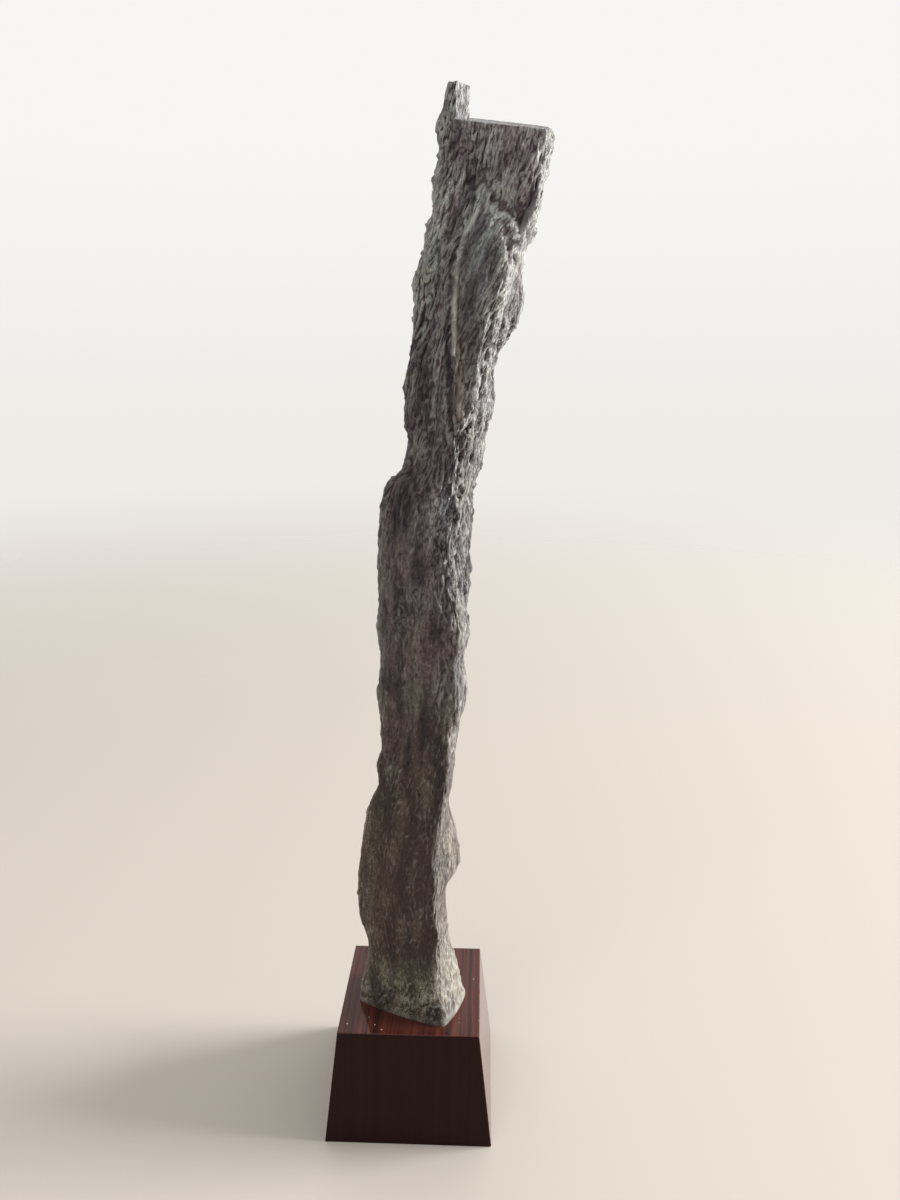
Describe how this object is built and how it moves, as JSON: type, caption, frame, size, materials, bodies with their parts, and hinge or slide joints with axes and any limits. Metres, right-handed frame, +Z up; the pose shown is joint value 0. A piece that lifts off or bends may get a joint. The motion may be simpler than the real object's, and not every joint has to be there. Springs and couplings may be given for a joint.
{
  "type": "suiseki",
  "caption": "Tall slender viewing stone of dark fibrous schist with a spire and a sawn top, leaning to the right from a small dark rosewood block.",
  "frame": {"origin": "the middle of the wooden block's underside, on the surface that it stands on", "axes": "+Z up; the broad dark face of the stone looks towards -Y, where the viewer stands, and +X is to the viewer's right, the way the stone leans"},
  "size_m": [0.0611, 0.05, 0.292],
  "materials": {
    "schist": "natural broken face, fibrous and matt, with a paler crust at the foot and on the right side",
    "rosewood": "dark striped rosewood under clear gloss lacquer"
  },
  "bodies": {
    "root": {"stone": "schist", "wooden_base": "rosewood"}
  },
  "joints": []
}
